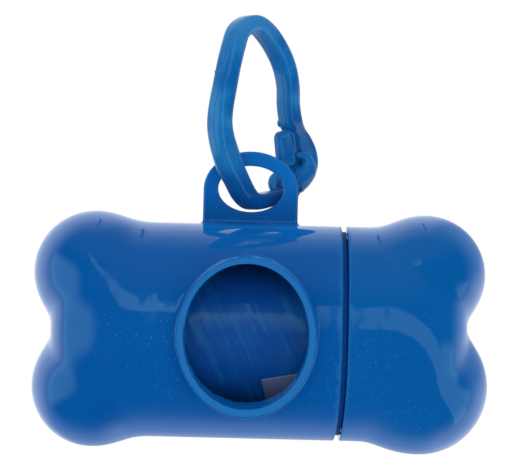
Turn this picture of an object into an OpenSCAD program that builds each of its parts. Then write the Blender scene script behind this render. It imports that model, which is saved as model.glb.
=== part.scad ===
// Bone-shaped waste bag dispenser: two blown shells, a lug with a clip, and a roll of bags.
// Millimetres. +X runs along the bone to the cap, +Z up through the lug, and the window looks along -Y.
// The origin is the middle of the lug's eye, where the dispenser hangs.

/* [Bone] */
// Length of the bone from tip to tip
bone_len = 85; // [76:1:100]
// How far the bone's middle lies to the cap side of the lug
bone_shift = 2.2; // [0:0.1:4]
// Outer diameter of the round barrel
barrel_d = 40; // [38:0.5:44]
// Wall of the blown shells
wall = 1.8; // [1.4:0.1:2.2]

/* [End lobes] */
// Radius of the body's two lobes seen from the front
lobe_r = 11.3; // [10:0.1:13]
// Height of their centres above and below the axis
lobe_rise = 10.6; // [9.5:0.1:12]
// Radius of the cap's upper lobe
cap_upper_r = 11; // [10:0.1:13]
// Height of its centre above the axis
cap_upper_rise = 11.4; // [9.5:0.1:12.5]
// How far it ends short of the tip of the bone
cap_upper_short = 0.7; // [0:0.1:1.5]
// Radius of the cap's lower lobe
cap_lower_r = 12.5; // [10:0.1:13]
// Distance of its centre below the axis
cap_lower_rise = 9.4; // [9:0.1:12]
// Half thickness of a lobe from front to back
lobe_depth = 15.5; // [13:0.5:18]
// Distance from the tip of the bone back to the notch between its lobes
notch_depth = 3.9; // [2:0.1:5]
// Softness of the blend between lobes and barrel
lobe_blend = 1; // [0.6:0.1:1.6]

/* [Cap joint] */
// Distance from the lug's middle to the middle of the gap at the cap
seam_x = 17.75; // [16:0.25:19]
// Gap between the rim of the body and the rim of the cap
seam_gap = 1; // [0.6:0.1:1.6]
// Outer diameter of the neck that the cap slides over
neck_d = 35; // [34:0.2:36]
// Length of the neck past the body's rim
neck_len = 9; // [7:0.5:12]
// Wall of the neck
neck_wall = 1.3; // [1:0.1:1.6]
// Height of the two grip beads on the neck
bead_h = 0.5; // [0.3:0.1:0.6]
// Radial clearance between the beads and the bore of the cap
cap_fit = 0.05; // [0.03:0.01:0.1]

/* [Window] */
// Outer width of the window collar along the bone
window_w = 25.3; // [22:0.1:27]
// Outer height of the window collar
window_h = 28.8; // [24:0.1:31]
// Width of the collar's flat face
collar_w = 1.7; // [1.2:0.1:2.4]
// How far the collar's face stands out from the front of the barrel
collar_out = 1.5; // [0.8:0.1:3]

/* [Lug] */
// Width of the lug
lug_w = 17.7; // [16.5:0.1:20]
// Height of the lug above the top of the barrel
lug_h = 13.6; // [13:0.1:16]
// Thickness of the lug
lug_t = 2.4; // [2:0.1:2.6]
// Width of the eye
eye_w = 12.2; // [11.8:0.1:13]
// Height of the eye
eye_h = 8.6; // [8.4:0.1:9.4]
// Height of the eye's centre above the top of the barrel
eye_rise = 6.6; // [6.4:0.1:7.4]

/* [Clip] */
// Height of the clip over all
clip_h = 36.4; // [35:0.5:44]
// Width of the clip's frame between the middles of its two arms
clip_w = 18.7; // [18:0.1:22]
// Thickness of the bar in the plane of the clip
bar_w = 3.5; // [3:0.1:3.6]
// Thickness of the bar across the plane of the clip
bar_t = 3.8; // [3.4:0.1:4]
// Angle between the clip and the lug at rest
clip_yaw = 45; // [42:1:60]
// Where the clip passes through the eye, to the cap side of its middle
clip_x = 0.8; // [0.4:0.1:1.2]

/* [Gate] */
// Diameter of the gate's pin
pin_d = 1.5; // [1.2:0.1:1.8]
// Diameter of the round knuckle about the pin
knuckle_d = 4.8; // [4.4:0.1:5.2]
// Thickness of the frame's tongue between the gate's two cheeks
tongue_t = 1.6; // [1.2:0.1:1.8]
// Running clearance about the pin
pin_fit = 0.05; // [0.03:0.01:0.1]
// Gap kept between the gate and the frame
gate_gap = 0.3; // [0.2:0.05:0.4]

/* [Roll] */
// Diameter of the roll of bags
roll_d = 30.6; // [24:0.2:31]
// Length of the roll
roll_len = 60; // [50:1:62]
// Outer diameter of the paper core
core_d = 13; // [10:0.5:16]
// Wall of the paper core
core_wall = 1; // [0.6:0.1:1.5]
// Width of the paper label along the roll
label_w = 12; // [8:1:13]
// Height of the paper label around the roll
label_h = 12; // [8:1:16]
// Thickness of the paper label
label_t = 0.2; // [0.1:0.05:0.2]

/* [Hidden] */
$fn = 96;

// Plastic and paper colours
body_blue = [0.05, 0.31, 0.64];
clip_blue = [0.07, 0.36, 0.68];
film_blue = [0.08, 0.30, 0.56];
paper_white = [0.90, 0.89, 0.87];
card_brown = [0.70, 0.60, 0.46];

// The axis of the barrel below the origin, and the places along it
barrel_r = barrel_d / 2;
bore_r = barrel_r - wall;
axis_z = -(barrel_r + eye_rise);
tip_left = bone_shift - bone_len / 2;
tip_right = bone_shift + bone_len / 2;
body_rim = seam_x - seam_gap / 2;
cap_rim = seam_x + seam_gap / 2;
neck_end = body_rim + neck_len;
neck_r = neck_d / 2;
neck_bore_r = neck_r - neck_wall;
cap_bore_r = neck_r + bead_h + cap_fit;

// Width of a grip bead, and how far the two stand from the body's rim and from the neck's end
bead_w = 1.2;
bead_from_rim = 2.5;
bead_from_end = 0.8;

// The end of the bone is worked out from a centre on the axis, this far behind the tip
end_centre = 16.5;
// and it runs back to where the plain barrel starts, this far behind the tip
end_len = 24.5;
end_around = 36;
end_rings = 14;
dome_power = 3;

// Distance from the centre to an ellipsoid's wall: centre [cx, 0, cz], radii r, depth, r, direction u
function to_lobe(u, cx, cz, r, depth) =
    let (v = [u[0], u[1] * r / depth, u[2]], b = v[0] * cx + v[2] * cz, q = v * v)
    (b + sqrt(max(0, b * b - q * (cx * cx + cz * cz - r * r)))) / q;

// Distance from the centre to the domed end of the barrel
function to_dome(u, r, dome) =
    let (side = sqrt(u[1] * u[1] + u[2] * u[2]))
    pow(pow(side / r, dome_power) + pow(max(0, u[0]) / dome, dome_power), -1 / dome_power);

// Smooth largest of three distances
function soft_max(a, b, c, k) =
    let (m = max(a, b, c)) m + k * ln(exp((a - m) / k) + exp((b - m) / k) + exp((c - m) / k));

// Each end has two lobes: radius, height of the centre, and how far it ends short of the tip
body_lobes = [[lobe_r, lobe_rise, 0], [lobe_r, -lobe_rise, 0]];
cap_lobes = [[cap_upper_r, cap_upper_rise, cap_upper_short], [cap_lower_r, -cap_lower_rise, 0]];

// Distance from the centre to one lobe's wall, drawn in by inset
function lobe_reach(u, inset, lobe) =
    to_lobe(u, end_centre - lobe[0] - lobe[2], lobe[1], lobe[0] - inset, lobe_depth - inset);

// Distance from the centre to the end's surface, drawn in by inset for the inner one
function end_reach(u, inset, lobes) =
    soft_max(to_dome(u, barrel_r - inset, end_centre - notch_depth - inset),
             lobe_reach(u, inset, lobes[0]), lobe_reach(u, inset, lobes[1]), lobe_blend);

// One point of the end: i counts rings from the tip, j goes around the axis
function end_point(i, j, inset, lobes) =
    let (last = end_len - end_centre, turn = 360 * j / end_around,
         lean = (90 + atan(last / barrel_r)) * i / end_rings,
         u = [cos(lean), sin(lean) * cos(turn), sin(lean) * sin(turn)], r = end_reach(u, inset, lobes))
    i == end_rings ? [-last, (barrel_r - inset) * cos(turn), (barrel_r - inset) * sin(turn)] : r * u;

// A lobed end of the bone with its tip pole at +X and a flat disc at the back
module lobed_end(inset, lobes) {
    n = end_around;
    base = n * end_rings;
    points = concat([[end_reach([1, 0, 0], inset, lobes), 0, 0]],
        [for (i = [1 : end_rings], j = [0 : n - 1]) end_point(i, j, inset, lobes)],
        [[end_centre - end_len, 0, 0]]);
    faces = concat(
        [for (j = [0 : n - 1]) [0, 1 + j, 1 + (j + 1) % n]],
        [for (i = [0 : end_rings - 2], j = [0 : n - 1]) let (a = 1 + i * n, k = (j + 1) % n)
            [a + j, a + n + j, a + n + k]],
        [for (i = [0 : end_rings - 2], j = [0 : n - 1]) let (a = 1 + i * n, k = (j + 1) % n)
            [a + j, a + n + k, a + k]],
        [for (j = [0 : n - 1]) [base + 1, 1 + base - n + (j + 1) % n, 1 + base - n + j]]);
    translate([-end_centre, 0, 0])
        polyhedron(points, [for (f = faces) [f[2], f[1], f[0]]]);
}

module at_right_tip() {
    translate([tip_right, 0, axis_z]) children();
}

module at_left_tip() {
    translate([tip_left, 0, axis_z]) mirror([1, 0, 0]) children();
}

// A round bar along X on the axis of the barrel
module along_axis(from, to, r) {
    translate([from, 0, axis_z]) rotate([0, 90, 0]) cylinder(h = to - from, r = r);
}

// An upright ellipse with many short sides, extruded along Y between two depths
module oval_bar(w, h, from, to) {
    translate([0, to, axis_z]) rotate([90, 0, 0]) linear_extrude(height = to - from)
        polygon([for (k = [0 : $fn - 1]) [w / 2 * cos(360 * k / $fn), h / 2 * sin(360 * k / $fn)]]);
}

// Outline of the lug: straight sides that run into the barrel's wall, under a flattened arch which springs
// from just below the eye's middle
spring_z = -0.2;
module lug_outline() {
    arch_h = lug_h - eye_rise - spring_z;
    foot_z = -eye_rise - wall;
    translate([0, spring_z]) intersection() {
        scale([lug_w / 2 / arch_h, 1]) circle(r = arch_h);
        translate([-lug_w / 2, 0]) square([lug_w, arch_h]);
    }
    translate([-lug_w / 2, foot_z]) square([lug_w, spring_z - foot_z]);
}

module lug() {
    rotate([90, 0, 0]) linear_extrude(height = lug_t, center = true) difference() {
        lug_outline();
        scale([eye_w / eye_h, 1]) circle(d = eye_h);
    }
}

module body_shell() {
    front = -barrel_r - collar_out;
    color(body_blue) difference() {
        union() {
            at_left_tip() lobed_end(0, body_lobes);
            along_axis(tip_left + end_len, body_rim, barrel_r);
            along_axis(body_rim, neck_end, neck_r);
            for (x = [body_rim + bead_from_rim, neck_end - bead_from_end - bead_w])
                along_axis(x, x + bead_w, neck_r + bead_h);
            oval_bar(window_w, window_h, front, -neck_bore_r / 2);
            lug();
        }
        at_left_tip() lobed_end(wall, body_lobes);
        along_axis(tip_left + end_len, body_rim - wall, bore_r);
        along_axis(body_rim - wall, neck_end, neck_bore_r);
        oval_bar(window_w - 2 * collar_w, window_h - 2 * collar_w, front, 0);
    }
}

module end_cap() {
    color(body_blue) difference() {
        union() {
            at_right_tip() lobed_end(0, cap_lobes);
            along_axis(cap_rim, tip_right - end_len, barrel_r);
        }
        at_right_tip() lobed_end(wall, cap_lobes);
        along_axis(cap_rim, neck_end + seam_gap, cap_bore_r);
        along_axis(cap_rim - barrel_d, cap_rim, barrel_d);
    }
}

// The clip is drawn with X across its width, Y through its thickness and Z up, and its bar follows a smooth
// curve through these places. Widths count from the middle of the eye's bar, heights from the eye's centre.
half_w = clip_w / 2;
clip_low = -1.8;
clip_top = clip_low + clip_h - bar_w;
knuckle = [half_w + 1.6, 2.8];
nose = [half_w + 1.0, 11.2];
clip_curve = [
    knuckle,
    [half_w - 0.2, -0.1],
    [5.9, clip_low + 0.65],
    [2.8, clip_low + 0.1],
    [-0.3, clip_low],
    [-3.1, clip_low + 1.1],
    [-5.3, 1.2],
    [-7.0, 5.4],
    [-half_w, 12.1],
    [-half_w + 1.2, clip_top - 10.5],
    [-half_w + 3.0, clip_top - 4.4],
    [-half_w + 5.2, clip_top - 1.1],
    [-0.9, clip_top],
    [3.3, clip_top - 2.6],
    [half_w - 3.0, clip_top - 6.2],
    [half_w - 1.2, clip_top - 11],
    [half_w - 1.1, nose[1] + 4.6],
    [half_w - 0.1, nose[1] + 1.9],
    nose];
bulge_curve = [
    nose + [1.3, -2.0],
    nose + [2.5, -4.2],
    nose + [2.6, -6.4],
    knuckle + [1.1, 0.1]];

// Point of a Catmull-Rom curve between places b and c, at t from 0 to 1
function curve_point(a, b, c, d, t) =
    0.5 * (2 * b + (c - a) * t + (2 * a - 5 * b + 4 * c - d) * t * t + (3 * b - a - 3 * c + d) * t * t * t);

function curve(p, steps) =
    let (n = len(p))
    concat([for (i = [0 : n - 2], s = [0 : steps - 1])
        curve_point(p[max(0, i - 1)], p[i], p[i + 1], p[min(n - 1, i + 2)], s / steps)], [p[n - 1]]);

// Ring of the bar's rounded section at a place on the curve, with the given thickness across the clip
curve_steps = 4;
bar_sides = 12;
bar_square = 0.62;
function signed_pow(v, power) = sign(v) * pow(abs(v), power);
function bar_ring(p, ahead, thick) =
    let (across = [ahead[1], -ahead[0]] / norm(ahead))
    [for (k = [0 : bar_sides - 1]) let (a = 360 * (k + 0.5) / bar_sides,
         q = p + across * bar_w / 2 * signed_pow(cos(a), bar_square))
        [q[0], thick / 2 * signed_pow(sin(a), bar_square), q[1]]];

// A bar swept along a curve, as thick as each entry of the list thick says
module bar_sweep(path, thick) {
    n = len(path);
    m = bar_sides;
    points = [for (i = [0 : n - 1]) each
        bar_ring(path[i], path[min(n - 1, i + 1)] - path[max(0, i - 1)], thick[i])];
    faces = concat(
        [for (i = [0 : n - 2], k = [0 : m - 1]) let (j = (k + 1) % m)
            [i * m + k, i * m + j, (i + 1) * m + j]],
        [for (i = [0 : n - 2], k = [0 : m - 1]) let (j = (k + 1) % m)
            [i * m + k, (i + 1) * m + j, (i + 1) * m + k]],
        [[for (k = [0 : m - 1]) m - 1 - k], [for (k = [0 : m - 1]) (n - 1) * m + k]]);
    polyhedron(points, [for (f = faces) [for (k = [len(f) - 1 : -1 : 0]) f[k]]]);
}

// Gap on each side of the frame's tongue between the gate's cheeks
slot_gap = 0.1;

// Turns the clip's own plane to where it hangs in the eye
module in_clip() {
    translate([clip_x, 0, 0]) rotate([0, 0, clip_yaw]) children();
}

// A round bar along the pin, centred in the clip's thickness
module at_knuckle(d, t) {
    translate([knuckle[0], 0, knuckle[1]]) rotate([90, 0, 0]) cylinder(h = t, d = d, center = true);
}

// The gate meets the nose in a half lap whose faces are arcs about the pin: the gate's tip runs up to the
// outer arc, the nose's lip comes down outside it to the inner one, and both end short of the knuckle
tip_reach = 8.2;
lip_reach = 6.2;
lip_x = nose[0] + 1.65;
knuckle_clear = 1.75;

// What the gate may fill above its knuckle, grown by a gap, in the plane of the clip
module gate_zone(gap) {
    intersection() {
        translate(knuckle) circle(r = tip_reach + gap);
        union() {
            translate(knuckle + [-clip_w, knuckle_clear])
                square([lip_x + gap - gate_gap - knuckle[0] + clip_w, clip_h]);
            translate(knuckle) circle(r = lip_reach + gap);
        }
    }
}

// Extrudes an outline in the plane of the clip to a thickness across it
module across_clip(t) {
    rotate([90, 0, 0]) linear_extrude(height = t, center = true) children();
}

module clip_frame() {
    path = curve(concat(clip_curve, [bulge_curve[0], bulge_curve[1]]), curve_steps);
    thick = [for (i = [0 : len(path) - 1]) i <= curve_steps ? tongue_t : bar_t];
    color(clip_blue) in_clip() difference() {
        union() {
            bar_sweep(path, thick);
            at_knuckle(knuckle_d, tongue_t);
        }
        at_knuckle(pin_d + 2 * pin_fit, bar_t);
        across_clip(2 * bar_t) intersection() {
            gate_zone(gate_gap);
            translate(knuckle + [-clip_w / 2, knuckle_clear]) square([clip_w, clip_h]);
        }
    }
}

// The thumb block that stands inside the bend of the gate, a little thinner than the bar
block_inset = 0.4;
block_foot = knuckle + [-3.6, 1.4];
block_top = nose + [-4.3, -0.5];
module thumb_block() {
    polygon([knuckle + [0, 1], block_foot, block_top, block_top + [0.35, 0.3], block_top + [1.9, 0.3],
             block_top + [2.2, 0], nose + [-1.6, -1.6], nose + [0, -1], nose + [0.8, -3],
             nose + [-0.4, -3.3], nose + [-1.2, -4.4], nose + [-0.6, -5.6], knuckle + [1, 2]]);
}

module clip_gate() {
    path = curve(concat([nose + [-0.3, 0.6], nose], bulge_curve), curve_steps);
    thick = [for (p = path) bar_t];
    color(clip_blue) in_clip() difference() {
        union() {
            intersection() {
                bar_sweep(path, thick);
                across_clip(2 * bar_t) gate_zone(0);
            }
            at_knuckle(knuckle_d, bar_t);
            across_clip(bar_t - 2 * block_inset) thumb_block();
        }
        at_knuckle(pin_d, bar_t * 2);
        at_knuckle(knuckle_d + 2 * gate_gap, tongue_t + 2 * slot_gap);
    }
}

module gate_pin() {
    color(clip_blue) in_clip() at_knuckle(pin_d, bar_t);
}

// The roll lies low in the neck's bore, and its label's middle is given along the roll and in degrees
// around it from the front
roll_gap = 0.5;
roll_r = roll_d / 2;
roll_drop = neck_bore_r - roll_r - roll_gap;
roll_mid = bone_shift;
label_mid = [8.6, -50];
label_tilt = 11;

module roll_bar(from, to, r) {
    translate([0, 0, -roll_drop]) along_axis(from, to, r);
}

module bag_roll() {
    color(film_blue) difference() {
        roll_bar(roll_mid - roll_len / 2, roll_mid + roll_len / 2, roll_r);
        roll_bar(roll_mid - roll_len / 2, roll_mid + roll_len / 2, core_d / 2);
    }
}

module roll_core() {
    color(card_brown) difference() {
        roll_bar(roll_mid - roll_len / 2, roll_mid + roll_len / 2, core_d / 2);
        roll_bar(roll_mid - roll_len / 2, roll_mid + roll_len / 2, core_d / 2 - core_wall);
    }
}

module roll_label() {
    color(paper_white) intersection() {
        difference() {
            roll_bar(roll_mid - roll_len / 2, roll_mid + roll_len / 2, roll_r + label_t);
            roll_bar(roll_mid - roll_len / 2, roll_mid + roll_len / 2, roll_r);
        }
        translate([label_mid[0], 0, axis_z - roll_drop]) rotate([-label_mid[1], -label_tilt, 0])
            translate([0, -roll_r, 0]) cube([label_w, roll_r, label_h], center = true);
    }
}

body_shell();
end_cap();
clip_frame();
clip_gate();
gate_pin();
bag_roll();
roll_core();
roll_label();
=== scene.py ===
from math import cos, pi, radians, sin

import bmesh
import bpy
import numpy as np
from mathutils import Matrix, Vector


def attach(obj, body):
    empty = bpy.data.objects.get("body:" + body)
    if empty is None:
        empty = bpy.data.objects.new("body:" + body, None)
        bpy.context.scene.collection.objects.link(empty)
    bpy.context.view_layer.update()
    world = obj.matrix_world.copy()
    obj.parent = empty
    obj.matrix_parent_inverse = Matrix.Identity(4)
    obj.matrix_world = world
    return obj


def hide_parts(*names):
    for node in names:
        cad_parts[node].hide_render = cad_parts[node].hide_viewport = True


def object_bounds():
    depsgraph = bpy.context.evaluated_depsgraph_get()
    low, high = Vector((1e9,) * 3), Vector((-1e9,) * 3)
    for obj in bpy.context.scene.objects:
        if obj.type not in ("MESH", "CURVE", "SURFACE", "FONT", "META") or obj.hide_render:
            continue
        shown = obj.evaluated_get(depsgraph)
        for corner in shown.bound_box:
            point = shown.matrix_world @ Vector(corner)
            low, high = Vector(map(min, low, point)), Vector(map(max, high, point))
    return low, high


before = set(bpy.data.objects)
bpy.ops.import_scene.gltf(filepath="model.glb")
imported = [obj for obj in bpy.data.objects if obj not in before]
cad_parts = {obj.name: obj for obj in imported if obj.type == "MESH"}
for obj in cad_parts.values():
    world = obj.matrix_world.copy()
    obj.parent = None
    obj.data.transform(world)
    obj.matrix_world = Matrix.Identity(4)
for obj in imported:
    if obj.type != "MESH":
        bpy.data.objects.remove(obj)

# Camera: level with the upper half of the dispenser and square to its window, held a little rolled, with a
# long lens 400 mm away, as the photographer's was.
cad_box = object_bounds()
scene = bpy.context.scene
camera_far = 0.4
camera_target = Vector((0.001063, 0.0, -0.009035))
camera_yaw, camera_rise, camera_roll = radians(0.184), radians(-0.027), radians(1.377)
camera_back = Vector((sin(camera_yaw) * cos(camera_rise), -cos(camera_yaw) * cos(camera_rise),
                      sin(camera_rise)))
camera_right = (-camera_back).cross(Vector((0, 0, 1))).normalized()
camera_up = camera_right.cross(-camera_back)
rolled_right = camera_right * cos(camera_roll) + camera_up * sin(camera_roll)
rolled_up = camera_up * cos(camera_roll) - camera_right * sin(camera_roll)
lens = bpy.data.cameras.new("camera")
lens.lens = 150.6
lens.sensor_width = 36
lens.clip_start = 0.01
camera = bpy.data.objects.new("camera", lens)
scene.collection.objects.link(camera)
camera.matrix_world = Matrix.Translation(camera_target + camera_far * camera_back) @ Matrix(
    (rolled_right, rolled_up, camera_back)).transposed().to_4x4()
scene.camera = camera
scene.view_settings.view_transform = "Standard"

# Table: a small disc of board painted a pale grey, 12 mm under the hanging dispenser. It takes the shadow
# and fades out into the white around it.
table_z = cad_box[0][2] - 0.012
table_reach, fade_from, fade_to = 0.17, 0.05, 0.10


def grid_faces(rows, columns, closed):
    """Quads of a grid of points, row after row. Closed grids join the last column to the first one."""
    i = np.arange(rows - 1)[:, None]
    j = np.arange(columns if closed else columns - 1)[None, :]
    k = (j + 1) % columns
    corners = [i * columns + j, i * columns + k, (i + 1) * columns + k, (i + 1) * columns + j]
    return np.stack([np.broadcast_to(c, (rows - 1, j.shape[1])) for c in corners], -1).reshape(-1, 4)


def mesh_object(name, points, faces):
    """Smooth mesh object at the origin from points in metres and a list of face arrays."""
    mesh = bpy.data.meshes.new(name)
    mesh.from_pydata(points.tolist(), [], [f for group in faces for f in group.tolist()])
    mesh.update()
    mesh.polygons.foreach_set("use_smooth", np.full(len(mesh.polygons), True))
    piece = bpy.data.objects.new(name, mesh)
    scene.collection.objects.link(piece)
    return piece


out = np.linspace(0, table_reach, 24)[:, None]
about = np.linspace(0, 2 * pi, 72, endpoint=False)[None, :]
table_points = np.stack([out * np.cos(about), out * np.sin(about), 0 * out * about + table_z], -1)
table = mesh_object("table", table_points.reshape(-1, 3), [grid_faces(24, 72, True)])


class Paint:
    """Nodes of a material, of a group or of the world, added one after another."""

    def __init__(self, tree):
        self.tree = tree

    def link(self, made, links):
        """Feeds a node's sockets. Each link is a socket and its source, an output or a value."""
        for socket, source in links:
            if hasattr(source, "is_output"):
                self.tree.links.new(source, made.inputs[socket])
            else:
                made.inputs[socket].default_value = source

    def node(self, kind, links=(), **settings):
        """Adds a shader node with its settings and its links."""
        made = self.tree.nodes.new("ShaderNode" + kind)
        for key, value in settings.items():
            setattr(made, key, value)
        self.link(made, links)
        return made

    def soft(self, value, start, stop, low=0.0, high=1.0, run="SMOOTHSTEP"):
        """Step of a value: low at start, high at stop, and an S-shaped or a LINEAR run between them."""
        links = [("Value", value), ("From Min", start), ("From Max", stop),
                 ("To Min", low), ("To Max", high)]
        return self.node("MapRange", links, interpolation_type=run).outputs[0]

    def math(self, operation, *values):
        """Works on the first one or two values, then on the result and the next value, and so on."""
        total = self.node("Math", enumerate(values[:2]), operation=operation).outputs[0]
        for value in values[2:]:
            total = self.node("Math", [(0, total), (1, value)], operation=operation).outputs[0]
        return total

    def toned(self, share, first, second):
        """Colour that goes from the first to the second one as the share goes from 0 to 1."""
        return self.node("Mix", [(0, share), (6, first), (7, second)], data_type="RGBA").outputs[2]

    def between(self, share, first, second):
        """Value that goes from the first to the second one as the share goes from 0 to 1."""
        return self.node("Mix", [(0, share), (2, first), (3, second)]).outputs[0]

    def noise(self, place, scale, detail, distortion=0.0):
        """Cloudy noise at a place, from 0 to 1."""
        links = [("Vector", place), ("Scale", scale), ("Detail", detail), ("Distortion", distortion)]
        return self.node("TexNoise", links).outputs["Fac"]

    def bump(self, height, strength, distance):
        """Normal of a surface raised by a height, over this distance in metres."""
        links = [("Height", height), ("Strength", strength), ("Distance", distance)]
        return self.node("Bump", links).outputs[0]


def new_material(name):
    """New node material: the material, the paint of its nodes and its Principled shader."""
    material = bpy.data.materials.new(name)
    material.use_nodes = True
    return material, Paint(material.node_tree), material.node_tree.nodes["Principled BSDF"]


table_white, paint, shader = new_material("table_white")
place = paint.node("TexCoord").outputs["Object"]
flat = paint.node("VectorMath", [(0, place), (1, (1, 1.5, 0))], operation="MULTIPLY").outputs[0]
far = paint.node("VectorMath", [(0, flat)], operation="LENGTH").outputs["Value"]
paint.link(shader, [("Base Color", (0.86, 0.86, 0.87, 1)), ("Roughness", 0.9),
                    ("Alpha", paint.soft(far, fade_from, fade_to, 1.0, 0.0))])
table.data.materials.append(table_white)
table.visible_glossy = table.visible_diffuse = table.visible_shadow = False

# Studio: around the dispenser the camera sees plain white. What the plastic mirrors is a white sweep behind
# and above it, and a dark room in front with four bluish soft boxes, which draw the pale streaks.
world = bpy.data.worlds.new("studio")
scene.world = world
world.use_nodes = True
world.node_tree.nodes.clear()
sky = Paint(world.node_tree)
toward = sky.node("TexCoord").outputs["Generated"]
# how far a direction points to the right, to the back and up, each from -1 to 1
east, north, high = sky.node("SeparateXYZ", [(0, toward)]).outputs


def band(normal, half, edge, offset=0.0):
    """A lamp strip on the sky: 1 within half of the plane with this normal, moved along it by the offset,
    and 0 past its soft edge."""
    off = sky.node("VectorMath", [(0, toward), (1, normal)], operation="DOT_PRODUCT").outputs["Value"]
    return sky.soft(sky.math("ABSOLUTE", sky.math("SUBTRACT", off, offset)), half + edge, half)


# the sweep is dimmer high on the right and low on the left, and wraps further round low on the right
upper = sky.soft(east, 0.05, 0.3, 0.95, 0.34)
lower = sky.soft(east, 0.0, 0.35, 0.5, 0.9)
line_up = sky.math("ADD", high, sky.soft(east, 0.1, -0.3, 0.0, 0.4))
sweep_level = sky.between(sky.soft(line_up, -0.2, 0.2), lower, upper)
wrap = sky.math("MULTIPLY", sky.soft(east, 0.1, 0.5), sky.soft(high, -0.25, -0.5), 0.15)
sweep_white = sky.math("MULTIPLY", sky.soft(sky.math("ADD", north, wrap), 0.0, 0.6), sweep_level,
                       sky.soft(high, 0.95, 0.6, 0.5, 1.0))
# a small dark card behind, which the barrel shows within the lug's mirror image
card = sky.math("MULTIPLY", sky.soft(east, -0.0135, -0.0115), sky.soft(east, 0.0150, 0.0130),
                sky.soft(high, 0.70, 0.73), sky.soft(high, 0.915, 0.905))
sweep_white = sky.math("MULTIPLY", sweep_white, sky.soft(card, 0.0, 1.0, 1.0, 0.04))
ceiling = sky.soft(high, 0.55, 1.0, 0.0, 0.15)
floor_glow = sky.math("MULTIPLY", sky.soft(high, -0.72, -0.95, 0.0, 0.08), sky.soft(north, -0.3, 0.1))
white = sky.math("ADD", sweep_white, ceiling, floor_glow)

# the left box, the right box with a dim one low beside it, the thin strip left of the window, and the box
# whose image stands between the window and the seam, with a slanting edge
left_edge = sky.math("ADD", sky.math("ABSOLUTE", high), sky.math("MULTIPLY", east, 0.3))
left_box = sky.math("MULTIPLY", sky.soft(left_edge, 0.32, 0.0), sky.soft(east, -0.34, -0.68, 0.0, 0.56),
                    sky.soft(north, 0.35, 0.15))
right_box = sky.math("MULTIPLY", band((0.476, 0.318, 0.820), 0.15, 0.05),
                     sky.soft(east, 0.0475, 0.0510, 0.0, 0.45))
low_side = sky.math("ABSOLUTE", sky.math("ADD", high, 0.25))
low_side = sky.math("MULTIPLY", sky.soft(low_side, 0.24, 0.1), sky.soft(east, 0.86, 0.96, 0.0, 0.45))
right_box = sky.math("MULTIPLY", sky.math("MAXIMUM", right_box, low_side), sky.soft(north, 0.35, 0.15))
thin_foot = sky.math("ADD", high, sky.math("MULTIPLY", east, 9.5))
thin_box = sky.math("MULTIPLY", band((0.930, 0.109, 0.352), 0.045, 0.03, 0.03),
                    sky.soft(high, 0.32, 0.38, 0.0, 0.46), sky.soft(high, 0.86, 0.76),
                    sky.soft(north, -0.2, -0.3), sky.soft(east, -0.033, -0.036),
                    sky.soft(thin_foot, 0.10, 0.06), sky.soft(east, -0.27, -0.17),
                    sky.soft(east, -0.13, -0.05, 1.0, 1.4))
slant = sky.math("MULTIPLY", sky.math("ABSOLUTE", sky.math("ADD", high, -0.41)), 0.03)
middle_box = sky.math("MULTIPLY", sky.soft(high, 0.54, 0.50), sky.soft(high, 0.0, 0.46, 0.03, 0.46),
                      sky.soft(sky.math("ADD", east, slant), 0.0432, 0.0418), sky.soft(east, -0.036, -0.033),
                      sky.soft(north, 0.0, -0.2))
boxes = sky.math("ADD", left_box, right_box, thin_box, middle_box)
box_tint = (1.0, 2.0, 2.2)
studio = sky.node("CombineXYZ", [(channel, sky.math("ADD", white, sky.math("MULTIPLY", boxes, tint)))
                                 for channel, tint in enumerate(box_tint)]).outputs[0]
ray = sky.node("LightPath").outputs
mirrored = sky.math("MAXIMUM", ray["Is Glossy Ray"], ray["Is Transmission Ray"])
glow = sky.toned(mirrored, (0.95, 0.95, 0.95, 1), studio)
glow = sky.toned(ray["Is Camera Ray"], glow, (1, 1, 1, 1))
backdrop = sky.node("Background", [("Color", glow), ("Strength", 1.0)])
sky.node("OutputWorld", [(0, backdrop.outputs[0])])

# Lamps: two dim square soft boxes, one in front and one low on the right. They light the plastic and the
# paper, and leave no mirror image.
lamp_aim = Vector((0, 0, -0.02))
for lamp_name, lamp_place, size, watts in (("lamp_front", (0.05, -0.55, 0.02), 0.40, 0.30),
                                           ("lamp_low", (0.20, -0.40, -0.30), 0.30, 0.10)):
    light = bpy.data.lights.new(lamp_name, "AREA")
    light.size = size
    light.energy = watts
    lamp = bpy.data.objects.new(lamp_name, light)
    scene.collection.objects.link(lamp)
    lamp.location = lamp_place
    lamp.rotation_euler = (lamp_aim - Vector(lamp_place)).to_track_quat("-Z", "Y").to_euler()
    lamp.visible_glossy = False

# Body shell: one blow-moulded piece of glossy blue polyethylene. Two lobes close its left end; the barrel
# carries a window collar sliced off flat and a pinched lug, and steps down to a neck for the cap.
axis_z = -26.6
barrel_r, wall = 20.0, 1.8
bore_r = barrel_r - wall
around = 192
turn = 2 * pi * np.arange(around) / around


def lobe_reach(u, centre_x, centre_z, radius, depth):
    """Distance along u from the end's centre to a lobe: a sphere seen from the front, deeper along Y."""
    v = u * np.array([1.0, radius / depth, 1.0])
    b = v[..., 0] * centre_x + v[..., 2] * centre_z
    q = (v * v).sum(-1)
    inside = b * b - q * (centre_x**2 + centre_z**2 - radius**2)
    return np.where(inside > 0, (b + np.sqrt(np.maximum(inside, 0))) / q, 0)


def end_reach(u, inset, reach, lobes, blend):
    """Smooth largest of the barrel's dome and of two lobes, seen along u from the end's centre."""
    side = np.hypot(u[..., 1], u[..., 2])
    dome = ((side / (barrel_r - inset)) ** 3 + (np.maximum(0, u[..., 0]) / (reach - inset)) ** 3) ** (-1 / 3)
    parts = np.stack([dome] + [lobe_reach(u, x, z, r - inset, d - inset) for x, z, r, d in lobes])
    most = parts.max(0)
    return most + blend * np.log(np.exp((parts - most) / blend).sum(0))


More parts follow.
